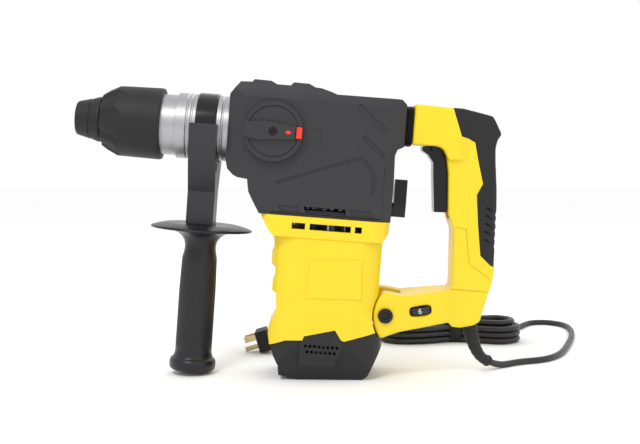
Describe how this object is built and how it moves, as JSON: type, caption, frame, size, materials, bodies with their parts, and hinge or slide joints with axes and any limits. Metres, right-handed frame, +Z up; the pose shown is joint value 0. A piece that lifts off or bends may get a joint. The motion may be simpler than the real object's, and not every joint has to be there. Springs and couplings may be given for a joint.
{
  "type": "rotary hammer",
  "caption": "L-shaped corded rotary hammer with keyless chuck, swivelling side handle, mode knob, sprung D-shaped rear handle and power cord with plug.",
  "frame": {"origin": "centre of the flat of the foot, on the floor", "axes": "+Z up; the chuck points toward -X and the rear handle is at +X; the side with the mode knob faces -Y. The tool leans 4.3 degrees back about Y, as it stands on its slanted foot."},
  "size_m": [0.5013, 0.3289, 0.2627],
  "materials": {
    "black_plastic": "satin",
    "yellow_plastic": "satin",
    "soft_rubber": "matte",
    "gloss_black": "gloss",
    "turned_alloy": "turned",
    "steel": "machined",
    "copper": "enamelled",
    "red_plastic": "gloss"
  },
  "bodies": {
    "body": {"gear_cover_left": "black_plastic", "gear_cover_right": "black_plastic", "front_collar": "turned_alloy", "motor_housing": "yellow_plastic", "base_cap": "black_plastic", "gear_plate": "turned_alloy", "bearing_bridge": "turned_alloy", "stator_core": "steel", "field_coils": "copper", "brush_gear": "copper", "bearings": "steel", "front_seal": "soft_rubber", "housing_screws": "steel", "handle_bellows": "soft_rubber", "handle_spring": "steel", "cord_lead": "soft_rubber", "cord_hank": "soft_rubber", "hank_tie": "soft_rubber", "cord_tail": "soft_rubber", "plug_body": "soft_rubber", "plug_pins": "steel"},
    "armature": {"armature_shaft": "steel", "armature_core": "steel", "commutator": "copper", "cooling_fan": "turned_alloy"},
    "crank": {"crank_shaft": "steel", "crank_gear": "steel"},
    "piston": {"piston": "steel", "connecting_rod": "steel", "rod_pins": "steel"},
    "bevel": {"bevel_shaft": "steel"},
    "spindle": {"hammer_tube": "steel", "tool_holder": "steel", "locking_balls": "steel", "dust_cap": "soft_rubber", "ring_gear": "steel", "clutch_collar": "steel", "clutch_spring": "steel", "sleeve_spring": "steel"},
    "sleeve": {"chuck_sleeve": "black_plastic"},
    "striker": {"striker": "steel", "striker_ring": "soft_rubber"},
    "impact_bolt": {"impact_bolt": "steel"},
    "side_handle": {"handle_saddle": "black_plastic", "clamp_strap": "gloss_black", "clamp_stud": "steel"},
    "side_grip": {"side_grip": "soft_rubber"},
    "knob": {"selector_knob": "black_plastic", "knob_screw": "steel"},
    "lock": {"lock_button": "red_plastic"},
    "lever": {"hammer_lever": "gloss_black"},
    "handle": {"handle_left": "yellow_plastic", "handle_right": "yellow_plastic", "handle_overmould": "soft_rubber", "hinge_bolt": "steel", "handle_screws": "steel", "switch_module": "black_plastic", "strain_relief": "soft_rubber"},
    "trigger": {"trigger": "gloss_black"},
    "dial": {"speed_dial": "black_plastic"}
  },
  "joints": [
    {"name": "armature_spin", "type": "hinge", "parent": "body", "child": "armature", "pos_m": [-0.0016, 0, 0.08536], "axis": [0.075, 0, 0.9972], "continuous": true},
    {"name": "crank_spin", "type": "hinge", "parent": "body", "child": "crank", "pos_m": [0.02833, 0, 0.15832], "axis": [0.075, 0, 0.9972], "continuous": true},
    {"name": "bevel_spin", "type": "hinge", "parent": "body", "child": "bevel", "pos_m": [-0.01904, 0, 0.16188], "axis": [0.075, 0, 0.9972], "continuous": true},
    {"name": "spindle_spin", "type": "hinge", "parent": "body", "child": "spindle", "pos_m": [-0.13361, 0, 0.22365], "axis": [0.9972, 0, -0.075], "continuous": true},
    {"name": "piston_slide", "type": "slide", "parent": "body", "child": "piston", "axis": [0.9972, 0, -0.075], "range_m": [0, 0.018]},
    {"name": "striker_slide", "type": "slide", "parent": "spindle", "child": "striker", "axis": [-0.9972, 0, 0.075], "range_m": [0, 0.028]},
    {"name": "impact_bolt_slide", "type": "slide", "parent": "spindle", "child": "impact_bolt", "axis": [-0.9972, 0, 0.075], "range_m": [0, 0.008]},
    {"name": "chuck_sleeve_slide", "type": "slide", "parent": "spindle", "child": "sleeve", "axis": [0.9972, 0, -0.075], "range_m": [0, 0.008], "stiffness_N_per_m": 1500, "springref_m": -0.008, "deforming": ["sleeve_spring"]},
    {"name": "side_handle_swivel", "type": "hinge", "parent": "body", "child": "side_handle", "pos_m": [-0.10768, 0, 0.2217], "axis": [0.9972, 0, -0.075], "continuous": true},
    {"name": "side_grip_turn", "type": "hinge", "parent": "side_handle", "child": "side_grip", "pos_m": [-0.11615, 0, 0.10902], "axis": [0.075, 0, 0.9972], "continuous": true},
    {"name": "selector_knob_turn", "type": "hinge", "parent": "body", "child": "knob", "pos_m": [-0.04785, -0.046, 0.2172], "axis": [0, -1, 0], "range_deg": [0, 180]},
    {"name": "lock_button_press", "type": "slide", "parent": "knob", "child": "lock", "axis": [0, 1, 0], "range_m": [0, 0.0015], "stiffness_N_per_m": 400, "springref_m": -0.002},
    {"name": "hammer_lever_turn", "type": "hinge", "parent": "body", "child": "lever", "pos_m": [0.05727, 0, 0.14812], "axis": [0.9972, 0, -0.075], "range_deg": [-90, 0]},
    {"name": "rear_handle_tilt", "type": "hinge", "parent": "body", "child": "handle", "pos_m": [0.04909, 0, 0.05678], "axis": [0, 1, 0], "range_deg": [-1.5, 1.5], "stiffness_Nm_per_rad": 180, "deforming": ["handle_bellows", "handle_spring", "cord_lead"]},
    {"name": "trigger_pull", "type": "hinge", "parent": "handle", "child": "trigger", "pos_m": [0.09146, 0, 0.20271], "axis": [0, -1, 0], "range_deg": [0, 8], "stiffness_Nm_per_rad": 0.4, "springref_deg": -8.59},
    {"name": "speed_dial_turn", "type": "hinge", "parent": "handle", "child": "dial", "pos_m": [0.07974, -0.0172, 0.06019], "axis": [-0.1271, 0, 0.9919], "range_deg": [-150, 150]}
  ],
  "couplings": [
    {"joint": "crank_spin", "follows": "armature_spin", "ratio": -0.3},
    {"joint": "bevel_spin", "follows": "armature_spin", "ratio": -0.32143},
    {"joint": "spindle_spin", "follows": "armature_spin", "ratio": 0.10714}
  ]
}
